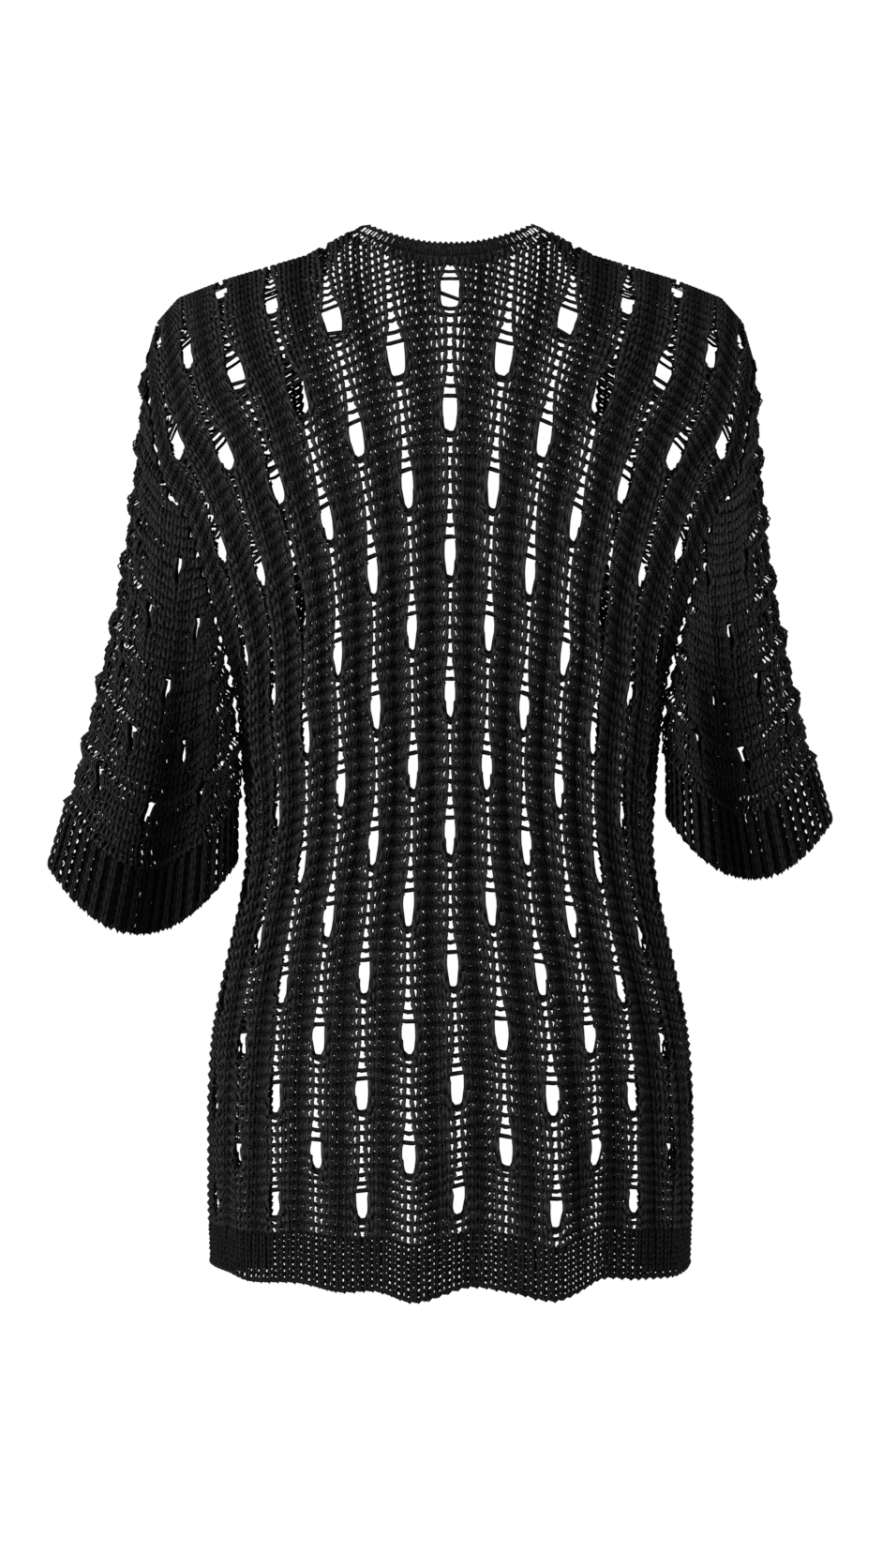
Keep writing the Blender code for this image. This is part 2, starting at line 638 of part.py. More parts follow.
def make_sleeve_half(arm, name, first, last, material):
    """Half of a sleeve's tube, between two places round it."""
    gap = 1.5 * SIDE_GAP
    low = 0.05

    def top(c):
        return float(sleeve_top(arm, c)) - 0.06

    columns = np.linspace(first + gap, last - gap, ARMHOLE_STEPS + 1)
    right_courses = np.linspace(low, top(last - gap), max(2, int(top(last - gap) / 5) + 2))[1:-1]
    left_courses = np.linspace(low, top(first + gap), max(2, int(top(first + gap) / 5) + 2))[1:-1]
    outline = [(c, low) for c in columns]
    outline += [(last - gap, float(n)) for n in right_courses]
    outline += [(c, top(c)) for c in columns[::-1]]
    outline += [(first + gap, float(n)) for n in left_courses[::-1]]
    places = [
        (c, n)
        for step in range(12)
        for c in range(int(first) + 1, int(last))
        for n in [4.5 + 6.5 * step]
        if (c + step) % 2 == 0 and n + 3.2 < min(top(c - 0.3), top(c + 0.3))
    ]
    holes = [hole_loop(c, n, SLEEVE_HOLE_HALF_WIDTH, SLEEVE_HOLE_HALF_HEIGHT, 6) for c, n in places]
    inner = [
        (c + 0.5, 4.5 + 6.5 * step)
        for c in range(int(first), int(last))
        for step in range(12)
        if 4.5 + 6.5 * step < top(c + 0.5) - 1.5
    ]
    return make_wall(
        name,
        lambda c, n: sleeve_point(arm, c, n),
        lambda c, n: sleeve_normal(arm, c, n),
        outline,
        holes,
        inner,
        -arm_value(arm, "side"),
        material,
    )


def make_cuff(arm, material):
    """Ribbed cuff: a short tube, ribbed outside and plain inside."""
    name = "cuff_" + arm
    count = CUFF_RIBS * 2
    turns = np.arange(count) / count
    rings = []
    for up in (0.0, CUFF_HEIGHT):
        middle = cuff_point(arm, turns, up)
        out = cuff_normal(arm, turns, up)
        raised = np.where(np.arange(count) % 2 == 1, RIB_RAISE, 0.0)
        rings.append((middle + out * (WALL / 2 + raised)[:, None], middle - out * WALL / 2))
    mesh = bmesh.new()
    loops = [
        [mesh.verts.new(p) for p in ring]
        for ring in (rings[0][0], rings[1][0], rings[1][1], rings[0][1])
    ]
    for lower, upper in zip(loops, loops[1:] + loops[:1]):
        for k in range(count):
            following = (k + 1) % count
            mesh.faces.new((lower[k], lower[following], upper[following], upper[k]))
    bmesh.ops.recalc_face_normals(mesh, faces=mesh.faces)
    data = bpy.data.meshes.new(name)
    mesh.to_mesh(data)
    mesh.free()
    data.shade_smooth()
    data.set_sharp_from_angle(angle=math.radians(50))
    data.materials.append(material)
    cuff = bpy.data.objects.new(name, data)
    bpy.context.collection.objects.link(cuff)
    return cuff


def main():
    for old in list(bpy.data.objects):
        bpy.data.objects.remove(old)
    knit = new_material("open_knit", YARN_COLOUR, 0.85)
    rib = new_material("rib_knit", YARN_COLOUR, 0.9)
    make_back(knit)
    make_front(-1, knit)
    make_front(1, knit)
    make_hem("hem_back", -1, -SIDE_COLUMN, SIDE_COLUMN, rib)
    edge = front_edge_column(0)
    make_hem("hem_front_left", 1, -SIDE_COLUMN, -edge, rib)
    make_hem("hem_front_right", 1, edge, SIDE_COLUMN, rib)
    make_front_band(-1, rib)
    make_front_band(1, rib)
    make_neck_band(rib)
    for arm in ARMS:
        make_sleeve_half(arm, f"sleeve_{arm}_back", 0, SLEEVE_COLUMNS // 2, knit)
        make_sleeve_half(arm, f"sleeve_{arm}_front", SLEEVE_COLUMNS // 2, SLEEVE_COLUMNS, knit)
        make_cuff(arm, rib)


if __name__ == "__main__":
    main()
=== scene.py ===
"""Open-knit cardigan, hung out as worn and seen from its back.

Every panel is knitted from one strand of yarn for each row of loops. The same charts as the solids'
place the loops: on the torso `column` counts columns of drop-stitch holes from the middle and `course`
counts rows up from the hem rib, and on a sleeve they go round the arm and up from the cuff.
"""

import math

import bpy
import numpy as np
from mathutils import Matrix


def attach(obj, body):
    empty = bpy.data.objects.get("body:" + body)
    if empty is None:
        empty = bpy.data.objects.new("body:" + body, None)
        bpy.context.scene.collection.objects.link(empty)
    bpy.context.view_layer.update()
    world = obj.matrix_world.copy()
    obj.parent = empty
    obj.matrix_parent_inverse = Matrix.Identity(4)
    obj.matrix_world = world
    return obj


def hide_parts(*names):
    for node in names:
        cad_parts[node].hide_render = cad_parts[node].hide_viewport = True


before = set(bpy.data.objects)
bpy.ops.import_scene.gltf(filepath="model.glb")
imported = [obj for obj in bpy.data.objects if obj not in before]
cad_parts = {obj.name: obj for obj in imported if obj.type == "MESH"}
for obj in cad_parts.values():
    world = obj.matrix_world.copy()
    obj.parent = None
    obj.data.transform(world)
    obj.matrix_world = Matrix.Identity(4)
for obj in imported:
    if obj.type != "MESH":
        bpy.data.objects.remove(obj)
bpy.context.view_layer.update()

# ---------------------------------------------------------------- back
# One panel of open knit in matte black cotton tape, 70 loops wide and 88 rows high. Five loops make a
# column, and every tenth row of it three rungs have dropped to the foot of an oval hole. Columns side by
# side are five rows out of step. The panel hangs from its shoulder seams.
MM = 0.001

# The worn cloth of a torso panel is a chart of columns and courses, rolled over the shoulder line.
SIDE_COLUMN = 7.0
FIRST_HOLE_COURSE = 3
HOLE_STEP = 5
# One row for each row of holes, in millimetres, from two rows under the lowest holes. hole is half the
# holes' clear width.
SECTION_START = -2
SECTION_COLUMNS = ("height", "half_width", "droop", "shift", "back", "front", "spread", "pleat", "hole")
SECTIONS = (
    (-771, 169, -20, 6, 126, 108, 0.00, 0.0, 5.2),
    (-730, 170, -10, 6, 126, 108, 0.00, 0.4, 5.2),
    (-689, 171, 3, 6, 125, 108, 0.00, 1.4, 5.0),
    (-654, 171, 7, 6, 124, 108, 0.00, 1.8, 5.4),
    (-611, 171, 13, 5, 121, 108, 0.00, 2.0, 5.6),
    (-572, 169, 14, 4, 115, 108, 0.00, 2.2, 5.6),
    (-527, 165, 32, 2, 106, 106, 0.00, 2.4, 4.6),
    (-482, 157, 40, 0, 94, 102, 0.00, 2.6, 4.3),
    (-434, 148, 48, 0, 85, 98, 0.00, 2.8, 4.0),
    (-385, 143, 58, 0, 80, 97, 0.00, 2.8, 3.9),
    (-337, 145, 62, 0, 80, 100, 0.00, 2.8, 3.9),
    (-286, 148, 80, 0, 84, 108, 0.02, 2.6, 4.0),
    (-238, 154, 86, 0, 90, 118, 0.05, 2.4, 4.4),
    (-184, 163, 105, 0, 97, 124, 0.12, 2.0, 5.0),
    (-137, 172, 118, 0, 100, 120, 0.22, 1.6, 6.2),
    (-92, 186, 118, 0, 98, 105, 0.30, 1.2, 7.8),
    (-51, 202, 132, 0, 88, 85, 0.38, 1.0, 8.8),
    (-24, 211, 112, 0, 72, 64, 0.42, 0.6, 6.5),
    (5, 214, 100, 0, 62, 56, 0.42, 0.3, 6.0),
    (34, 214, 95, 0, 58, 52, 0.42, 0.0, 6.0),
    (66, 214, 90, 0, 58, 52, 0.42, 0.0, 6.0),
)
DROOP_POWER = 1.5
SHOULDER_ROLL = 44 * MM
ARMHOLE_OPEN = 0.24
UNDERARM = {"left": 46.0, "right": 49.5}  # the courses where the armholes begin
RIDGE = ((0, 20), (30, 16), (60, 0), (102, -23), (159, -40), (192, -53), (207, -70), (214, -95))
NECK_HALF_WIDTH = 60 * MM
NECK_DIP = 17 * MM
NECK_BAND = 14 * MM
FRONT_EDGE = ((-8, 4.6), (42, 4.6), (52, 4.5), (62, 3.75), (70, 3.2), (78, 2.5), (88, 1.68))
FOLDS = (
    (-4.6, 0.7, 5, 3),
    (-2.5, 0.6, 4, 4),
    (-0.9, 0.6, 9, 8),
    (0.3, 0.5, -8, -3),
    (2.0, 0.7, 9, 9),
    (3.4, 0.5, -6, -3),
    (5.2, 0.7, 5, 2),
)
FOLD_START = 32
PLEAT_DEEPENED = 1.6  # how much deeper loose loops sink between the columns than the solids' wall


def catmull_rom(values, at):
    values = np.asarray(values, float)
    at = np.clip(at, 0, len(values) - 1.0001)
    low = np.floor(at).astype(int)
    part = at - low
    p0, p1, p2, p3 = (values[np.clip(low + k, 0, len(values) - 1)] for k in (-1, 0, 1, 2))
    return p1 + 0.5 * part * (
        p2 - p0 + part * (2 * p0 - 5 * p1 + 4 * p2 - p3 + part * (3 * (p1 - p2) + p3 - p0))
    )


def section(name, course):
    values = [row[SECTION_COLUMNS.index(name)] for row in SECTIONS]
    return catmull_rom(values, (course - FIRST_HOLE_COURSE) / HOLE_STEP - SECTION_START)


def smoothstep(low, high, value):
    part = np.clip((value - low) / (high - low), 0, 1)
    return part * part * (3 - 2 * part)


def unit(vectors):
    return vectors / np.maximum(np.linalg.norm(vectors, axis=-1, keepdims=True), 1e-12)


def ridge_height(x):
    return np.interp(np.abs(x) / MM, [p[0] for p in RIDGE], [p[1] for p in RIDGE]) * MM


def front_edge_column(course):
    return np.interp(course, [p[0] for p in FRONT_EDGE], [p[1] for p in FRONT_EDGE])


def arc_angle(share, wide, deep, turn):
    steps = 40
    angles = np.linspace(0, 1, steps + 1) * turn[..., None]
    middle = (angles[..., 1:] + angles[..., :-1]) / 2
    speed = np.hypot(wide[..., None] * np.cos(middle), deep[..., None] * np.sin(middle))
    along = np.concatenate([np.zeros(share.shape + (1,)), np.cumsum(speed, axis=-1)], axis=-1)
    wanted = share * along[..., -1]
    index = np.clip((along < wanted[..., None]).sum(-1) - 1, 0, steps - 1)
    low = np.take_along_axis(along, index[..., None], -1)[..., 0]
    high = np.take_along_axis(along, index[..., None] + 1, -1)[..., 0]
    return (index + (wanted - low) / np.maximum(high - low, 1e-12)) / steps * turn


def quarter_turn(column, course):
    above = course - np.where(column < 0, UNDERARM["left"], UNDERARM["right"])
    opened = np.sin(np.clip(above / 20, 0, 1) * math.pi / 2) - 0.55 * smoothstep(24, 42, above)
    return (1 - ARMHOLE_OPEN * opened) * math.pi / 2


def torso_form(column, course, face):
    """The worn torso without its pleats: face is -1 on the back and 1 on the front."""
    column, course = np.broadcast_arrays(np.asarray(column, float), np.asarray(course, float))
    plain = np.abs(column) / SIDE_COLUMN
    share = plain * (1 + section("spread", course) * (1 - plain**2))
    turn = quarter_turn(column, course)
    wide = section("half_width", course) * MM / np.sin(turn)
    deep = section("back" if face < 0 else "front", course) * MM
    angle = arc_angle(share, wide, section("back", course) * MM, turn)
    x = np.sign(column) * wide * np.sin(angle) + section("shift", course) * (1 - plain**2) * MM
    z = (section("height", course) - section("droop", course) * plain**DROOP_POWER) * MM
    top = ridge_height(x)
    rolled = (top - z) / SHOULDER_ROLL + math.pi / 2 - 1
    y = face * deep * np.cos(angle) * np.sin(np.clip(rolled, -1, math.pi / 2))
    z = np.where(rolled < math.pi / 2, top - SHOULDER_ROLL * (1 - np.cos(rolled)), z)
    return np.stack([x, y, z], axis=-1)


def columns_proud(column):
    """Each column of holes stands out as a round ridge, 1 at its crest and -1 in the crease beside it."""
    return 2 * np.sqrt(np.cos(math.pi * column) ** 2 + 0.01) - 1


def torso_point(column, course, face):
    """The worn torso with its pleats and folds."""
    column, course = np.broadcast_arrays(np.asarray(column, float), np.asarray(course, float))
    point = torso_form(column, course, face)
    step = 0.02
    across = torso_form(column + step, course, face) - torso_form(column - step, course, face)
    level = unit(np.stack([-across[..., 1], across[..., 0], np.zeros_like(course)], axis=-1)) * face
    edge = 1 - smoothstep(SIDE_COLUMN - 0.6, SIDE_COLUMN, np.abs(column))
    if face > 0:
        edge = edge * smoothstep(0.1, 0.8, np.abs(column) - front_edge_column(course))
    out = PLEAT_DEEPENED * section("pleat", course) * columns_proud(column) * edge
    down = np.zeros_like(course)
    grow = 1 - smoothstep(-5, FOLD_START, course)
    for place, width, proud, drop in FOLDS:
        shape = np.exp(-(((column * -face - place) / width) ** 2)) * edge * grow
        out = out + proud * shape
        down = down + drop * shape
    point = point + level * (out * MM)[..., None]
    point[..., 2] -= down * MM
    return point


def normal_of(place, column, course, step, side):
    """The outward normal of a chart's surface. side is 1 where columns run to the right from outside."""
    across = place(column + step, course) - place(column - step, course)
    along = place(column, course + step) - place(column, course - step)
    return unit(np.cross(across, along) * side)


def torso_normal(column, course, face):
    return normal_of(lambda c, n: torso_form(c, n, face), column, course, 0.03, -face)


def neck_height(x, band):
    half = NECK_HALF_WIDTH + band
    low = -NECK_DIP - band
    return low + (ridge_height(half) - low) * np.minimum(np.abs(x) / half, 1) ** 2.2


def top_course(column, face, band=None):
    """The highest course at each column: the shoulder line, or a line this far outside the neck's edge."""
    column = np.asarray(column, float)
    low, high = np.full(column.shape, 60.0), np.full(column.shape, 96.0)
    for _ in range(24):
        middle = (low + high) / 2
        point = torso_form(column, middle, face)
        under = point[..., 1] * face > 0
        if band is not None:
            in_neck = np.abs(point[..., 0]) < NECK_HALF_WIDTH + band
            under &= ~in_neck | (point[..., 2] < neck_height(point[..., 0], band))
        low, high = np.where(under, middle, low), np.where(under, high, middle)
    return low


# The tape is 3.3 mm wide and 1 mm thick. A strand is a closed tube along a row of loops, and a panel's
# strands are one mesh. Its map runs along the strand in metres and once round it.
YARN_WIDE = 3.3 * MM
YARN_THICK = 1.0 * MM
FINE = 48  # places on a loop where its path is worked out
SHARPEST_MITRE = 0.70  # the cosine past which a bend in the tape grows no wider
PAINTED_EDGE_LIGHT = 0.22  # painted shade: the share of a strand's light painted onto its two edges
# The darkest painted shade a point may get.
LEAST_PAINTED_LIGHT = 0.05
MAP_STEP = 0.37  # metres of map between one strand's start and the next, for each point before it
LOOP_PLACES = {"fine": (0, 6, 13, 20, 28, 35, 42), "plain": (0, 9, 18, 24, 30, 39)}

yarn = bpy.data.materials.new("black_cotton_yarn")
yarn.use_nodes = True
nodes, links = yarn.node_tree.nodes, yarn.node_tree.links
shader = nodes["Principled BSDF"]
shader.inputs["Roughness"].default_value = 0.88
shader.inputs["Specular IOR Level"].default_value = 0.05
along_yarn = nodes.new("ShaderNodeTexCoord")
stretch = nodes.new("ShaderNodeMapping")
stretch.inputs["Scale"].default_value = (260.0, 5.0, 1.0)
links.new(along_yarn.outputs["UV"], stretch.inputs["Vector"])
fibres = nodes.new("ShaderNodeTexNoise")
fibres.inputs["Scale"].default_value = 1.0
fibres.inputs["Detail"].default_value = 4.0
fibres.inputs["Roughness"].default_value = 0.65
links.new(stretch.outputs["Vector"], fibres.inputs["Vector"])
shade = nodes.new("ShaderNodeValToRGB")
shade.color_ramp.elements[0].position = 0.34
shade.color_ramp.elements[0].color = (0.006, 0.006, 0.0065, 1.0)
shade.color_ramp.elements[1].position = 0.70
shade.color_ramp.elements[1].color = (0.078, 0.078, 0.083, 1.0)
links.new(fibres.outputs["Fac"], shade.inputs["Fac"])
# Painted shade: the yarn's colour is multiplied by each point's "proud" value. It darkens the backs of loops,
# the grooves, the tape's edges, the ribs and the sleeves' hollows, where shade falls.
painted_shade_attribute = nodes.new("ShaderNodeAttribute")
painted_shade_attribute.attribute_name = "proud"
painted_shade_mix = nodes.new("ShaderNodeMix")
painted_shade_mix.data_type = "RGBA"
painted_shade_mix.blend_type = "MULTIPLY"
painted_shade_mix.inputs[0].default_value = 1.0
links.new(shade.outputs["Color"], painted_shade_mix.inputs[6])
links.new(painted_shade_attribute.outputs["Fac"], painted_shade_mix.inputs[7])
links.new(painted_shade_mix.outputs[2], shader.inputs["Base Color"])
fuzz = nodes.new("ShaderNodeBump")
fuzz.inputs["Strength"].default_value = 0.55
fuzz.inputs["Distance"].default_value = 0.0006
links.new(fibres.outputs["Fac"], fuzz.inputs["Height"])
links.new(fuzz.outputs["Normal"], shader.inputs["Normal"])


UNEVEN = 0.04  # how far hand tension shifts a loop, in loops
uneven_table = np.random.default_rng(5).uniform(-1, 1, (3, 97, 211))


def loops(row, first, last, height, lean, depth):
    """A row of knit loops, first to last, as a fine path: across in loops, up in rows and depth in metres."""
    count = (last - first) * FINE + 1
    place = first + np.arange(count) / FINE
    turn = 2 * math.pi * place
    low = np.floor(place).astype(int)
    part = place - low
    part = part * part * (3 - 2 * part)
    line = uneven_table[:, row % 97]
    aside, lift, size = line[:, low % 211] * (1 - part) + line[:, (low + 1) % 211] * part
    across = place + lean * np.sin(2 * turn) + UNEVEN * aside
    up = -height * (1 + UNEVEN * size) * np.cos(turn) + UNEVEN * lift
    return across, up, -depth * np.cos(2 * turn)


def painted_relief_shade(in_loop, in_pleat):
    """Painted shade on a loop's place, darker where shade falls. Both values run from -1, at the back or in a
    groove, to 1, proud of it.
    """
    return (0.62 + 0.38 * in_loop) * (0.60 + 0.40 * in_pleat)


def thin_out(path, places, longest):
    """Keeps the named places of each loop, and places between them until none lie too far apart."""
    kept = np.array([k for k in range(len(path)) if k % FINE in places or k == len(path) - 1])
    for _ in range(4):
        gaps = np.linalg.norm(path[kept[1:]] - path[kept[:-1]], axis=1)
        kept = np.unique(np.concatenate([kept, ((kept[1:] + kept[:-1]) // 2)[gaps > longest]]))
    return kept


def tube_mesh(name, strands, sides=4):
    """One mesh of closed tubes. Each strand is its points, the cloth's normals there, the yarn's width and
    thickness as parts of the plain tape's, and its painted shade: how much light each point is painted with,
    from 0 to 1."""
    points, painted_shades, uvs, corners, sizes = [], [], [], [], []
    first = 0
    for path, normals, (wide, thick), proud in strands:
        count = len(path)
        pieces = unit(np.diff(path, axis=0, prepend=path[:1], append=path[-1:]))
        pieces[0], pieces[-1] = pieces[1], pieces[-2]
        ahead = unit(pieces[1:] + pieces[:-1])
        mitre = 1 / np.maximum((ahead * pieces[1:]).sum(-1), SHARPEST_MITRE)
        beside = unit(np.cross(ahead, normals))
        above = np.cross(beside, ahead)
        angles = np.arange(sides) * 2 * math.pi / sides
        ring = (beside * mitre[:, None])[:, None] * np.cos(angles)[None, :, None] * wide * YARN_WIDE / 2
        ring = ring + above[:, None] * np.sin(angles)[None, :, None] * thick * YARN_THICK / 2
        points.append((path[:, None] + ring).reshape(-1, 3))
        # Painted shade across the tape: its top lightest, its edges and underside darker.
        painted_light = PAINTED_EDGE_LIGHT + (1 - PAINTED_EDGE_LIGHT) * np.sin(angles)
        painted_shades.append((proud[:, None] * painted_light).clip(LEAST_PAINTED_LIGHT, 1).ravel())
        length = np.concatenate([[0], np.cumsum(np.linalg.norm(np.diff(path, axis=0), axis=1))])
        row, spot = np.meshgrid(np.arange(count - 1), np.arange(sides), indexing="ij")
        after = (spot + 1) % sides
        here, there = row * sides, (row + 1) * sides
        quad = np.stack([here + spot, there + spot, there + after, here + after], -1).reshape(-1, 4) + first
        corners.append(quad.ravel())
        sizes.append(np.full(len(quad), 4))
        round_uv = np.stack([spot, spot, spot + 1, spot + 1], -1) / sides
        along_uv = np.stack([length[row], length[row + 1], length[row + 1], length[row]], -1)
        uvs.append(np.stack([along_uv + first * MAP_STEP, round_uv], -1).reshape(-1, 2))
        ends = np.array([np.arange(sides), (count - 1) * sides + np.arange(sides)[::-1]]) + first
        corners.append(ends.ravel())
        sizes.append(np.full(2, sides))
        uvs.append(np.zeros((2 * sides, 2)))
        first += count * sides
    points, painted_shades, corners, sizes, uvs = (np.concatenate(a) for a in (points, painted_shades, corners, sizes, uvs))
    mesh = bpy.data.meshes.new(name)
    mesh.vertices.add(len(points))
    mesh.vertices.foreach_set("co", points.ravel())
    mesh.loops.add(len(corners))
    mesh.loops.foreach_set("vertex_index", corners)
    mesh.polygons.add(len(sizes))
    mesh.polygons.foreach_set("loop_start", np.concatenate([[0], np.cumsum(sizes)[:-1]]))
    mesh.polygons.foreach_set("loop_total", sizes)
    mesh.update()
    # The "proud" attribute holds each point's painted shade.
    mesh.attributes.new("proud", "FLOAT", "POINT").data.foreach_set("value", painted_shades)
    mesh.uv_layers.new(name="along_yarn").data.foreach_set("uv", uvs.ravel())
    mesh.shade_smooth()
    mesh.materials.append(yarn)
    piece = bpy.data.objects.new(name, mesh)
    bpy.context.scene.collection.objects.link(piece)
    return piece


def give(piece, node, flat, area=None):
    """Puts a knitted piece under the root body and hides the solid parts of the node it stands in for."""
    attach(piece, "root")
    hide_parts(*node)


# How the back's loops and holes lie in its chart. They are made as three pieces: hips, waist and shoulders.
LOOPS_A_COLUMN = 5
TORSO_ROWS = 88
LOOP_HEIGHT = 0.50  # half a loop's height, in rows
LOOP_LEAN = 0.19
LOOP_DEPTH = 1.5 * MM
HOLE_UNDER = 2.05  # rows from the seed of a hole down to its foot, and up to its top
HOLE_OVER = 0.75
HOLE_FOOT = 0.65  # how far the sides of a hole have closed at its foot
HOLE_SEED = 0.55  # rows from a hole's middle up to its seed
HOLE_POWER = 3.0  # 2 would make a hole an ellipse, and more makes it squarer
HOLE_DRAWN = 0.75  # the loops beside a hole lie outside its seed's edge by the rest
HOLE_ROWS = 17
HOLE_NECK_GAP = 2.6  # courses that a hole keeps from the neck band
LADDER = 3.6  # rows over which the rungs above a hole grow narrower
GAP_POWER = 0.87  # below 1 it widens the middle of a column and closes the groove between columns
STRAIGHT_ROWS = 66  # the rows over this one are fitted to the shoulder line
ROW_REACH = 0.7  # how far up a row its loops are held against the neck band's edge
NECK_LAP = 0.9  # courses of the panel that may lie under the band
TORSO_SPAN = 5.5 * MM  # the longest straight stretch of yarn in the torso


def torso_holes(low_column, high_column, keep):
    found = []
    for step in range(HOLE_ROWS):
        course = FIRST_HOLE_COURSE + HOLE_STEP * step
        for column in range(low_column, high_column + 1):
            if (column + step) % 2 == 0 and keep(column, course):
                found.append((column, course + HOLE_SEED))
    return found


def open_holes(column, course, holes, half_width, under, over, ladder):
    """Moves chart points out of the holes: rungs drop to a hole's foot and loops move aside."""
    across, up = np.zeros_like(column), np.zeros_like(column)
    for hole_column, seed in holes:
        half = half_width(hole_column, seed)
        near = (np.abs(column - hole_column) < half * 5) & (np.abs(course - seed) < under * 4)
        if not near.any():
            continue
        x = (column[near] - hole_column) / half
        rise = course[near] - seed
        side = np.sign(x)
        x = np.maximum(np.abs(x), 1e-6)
        height = np.where(rise < 0, under, over)
        y = np.abs(rise) / height
        reach = (x**HOLE_POWER + y**HOLE_POWER) ** (1 / HOLE_POWER)
        grown = (reach**HOLE_POWER + 1) ** (1 / HOLE_POWER) / reach
        wide_y = np.where(rise < 0, y * HOLE_FOOT, rise / ladder)
        wide_reach = (x**HOLE_POWER + wide_y**HOLE_POWER) ** (1 / HOLE_POWER)
        wide_grown = (wide_reach**HOLE_POWER + 1) ** (1 / HOLE_POWER) / wide_reach
        across[near] += side * x * (wide_grown - 1) * half
        up[near] += np.sign(rise) * y * (grown - 1) * height
    return column + across, course + up


def ladder_gap(column):
    """Widens each column's middle, where the ladder of rungs is, and narrows the groove between two."""
    nearest = np.round(column)
    off = column - nearest
    return nearest + np.sign(off) * 0.5 * (np.abs(off) * 2) ** GAP_POWER


def torso_strands(face, runs, holes, places):
    """Paths, normals and light of a torso panel's strands. Each run is a row, and its first and last loop."""
    columns, courses, depths, marks = [], [], [], []
    for row, first, last, course in runs:
        across, up, depth = loops(row, first, last, LOOP_HEIGHT, LOOP_LEAN, LOOP_DEPTH)
        columns.append(across / LOOPS_A_COLUMN)
        courses.append(course(across / LOOPS_A_COLUMN, row + 0.5 + up))
        depths.append(depth)
        marks.append(len(across))
    column, course, depth = (np.concatenate(a) for a in (columns, courses, depths))
    column = np.clip(ladder_gap(column), -SIDE_COLUMN, SIDE_COLUMN)

    def half_width(hole_column, seed):
        x = torso_form([hole_column - 0.3, hole_column + 0.3], seed - HOLE_SEED, face)
        a_column = np.linalg.norm(x[1] - x[0]) / 0.6
        return HOLE_DRAWN * (section("hole", seed - HOLE_SEED) * MM + YARN_WIDE / 2) / a_column

    column, course = open_holes(column, course, holes, half_width, HOLE_UNDER, HOLE_OVER, LADDER)
    column = np.clip(column, -SIDE_COLUMN, SIDE_COLUMN)

    def place(c, n):
        return torso_point(c, n, face)

    normal = normal_of(place, column, course, 0.04, -face)
    point = place(column, course) + normal * depth[:, None]
    # Painted shade: darker at the back of each loop and in the creases between columns.
    proud = painted_relief_shade(depth / LOOP_DEPTH, columns_proud(column))
    strands, start = [], 0
    for count in marks:
        path, out = point[start : start + count], normal[start : start + count]
        kept = thin_out(path, places, TORSO_SPAN)
        strands.append((path[kept], out[kept], proud[start : start + count][kept]))
        start += count
    return strands


def fitted(face):
    """Maps a row and column to a course so that the last rows end along the shoulder line."""
    tops = np.linspace(-SIDE_COLUMN, SIDE_COLUMN, 141)
    heights = top_course(tops, face)

    def course(column, row):
        top = np.interp(column, tops, heights)
        share = (row - STRAIGHT_ROWS) / (TORSO_ROWS - STRAIGHT_ROWS)
        return np.where(row < STRAIGHT_ROWS, row, STRAIGHT_ROWS + share * (top - STRAIGHT_ROWS))

    return course


back_course = fitted(-1)
neck_tops = np.linspace(-SIDE_COLUMN, SIDE_COLUMN, 561)
neck_courses = top_course(neck_tops, -1, NECK_BAND)
half_loops = int(SIDE_COLUMN * LOOPS_A_COLUMN)
back_runs = []
for row in range(TORSO_ROWS):
    middle = (np.arange(-half_loops, half_loops) + 0.5) / LOOPS_A_COLUMN
    under = back_course(middle, row + ROW_REACH) < np.interp(middle, neck_tops, neck_courses) + NECK_LAP
    start = None
    for k, inside in enumerate(list(under) + [False]):
        if inside and start is None:
            start = k
        if not inside and start is not None:
            if k - start > 1:
                back_runs.append((row, start - half_loops, k - half_loops, back_course))
            start = None
back_holes = torso_holes(-6, 6, lambda c, n: n < np.interp(c, neck_tops, neck_courses) - HOLE_NECK_GAP)
back_strands = torso_strands(-1, back_runs, back_holes, LOOP_PLACES["fine"])
for name, low, high, size, flat in (
    ("back_hips_knit", 0, 30, (0.97, 1.0), (0.43, 0.285)),
    ("back_waist_knit", 30, 60, (0.99, 1.0), (0.43, 0.30)),
    ("back_shoulders_knit", 60, TORSO_ROWS, (0.92, 1.0), (0.44, 0.235)),
):
    rows = [strand for strand, run in zip(back_strands, back_runs) if low <= run[0] < high]
    strands = [(path, out, size, proud) for path, out, proud in rows]
    give(tube_mesh(name, strands), ["back"], flat)

# ---------------------------------------------------------------- fronts
# The same open knit, one panel for each side, from the side seam to the front edge. The edge is cut
# back to a deep V, so rows grow shorter from the hip to the neck.
FRONT_YARN = (0.73, 1.1)
HOLE_EDGE_GAP = 0.3  # columns between a hole's middle and the front edge
LAST_FRONT_HOLE = 84.5  # the course over which the fronts have no holes
front_course = fitted(1)
for side, name in ((-1, "front_left"), (1, "front_right")):
    runs = []
    for row in range(TORSO_ROWS):
        first = math.ceil(float(front_edge_column(row + 0.5)) * LOOPS_A_COLUMN)
        ends = (first, half_loops) if side > 0 else (-half_loops, -first)
        runs.append((row, *ends, front_course))
    holes = torso_holes(
        *((2, 6) if side > 0 else (-6, -2)),
        lambda c, n: abs(c) > front_edge_column(n) + HOLE_EDGE_GAP and n < LAST_FRONT_HOLE,
    )
    rows = torso_strands(1, runs, holes, LOOP_PLACES["plain"])
    strands = [(path, out, FRONT_YARN, proud) for path, out, proud in rows]
    give(tube_mesh(name + "_knit", strands), [name], (0.10, 0.70))

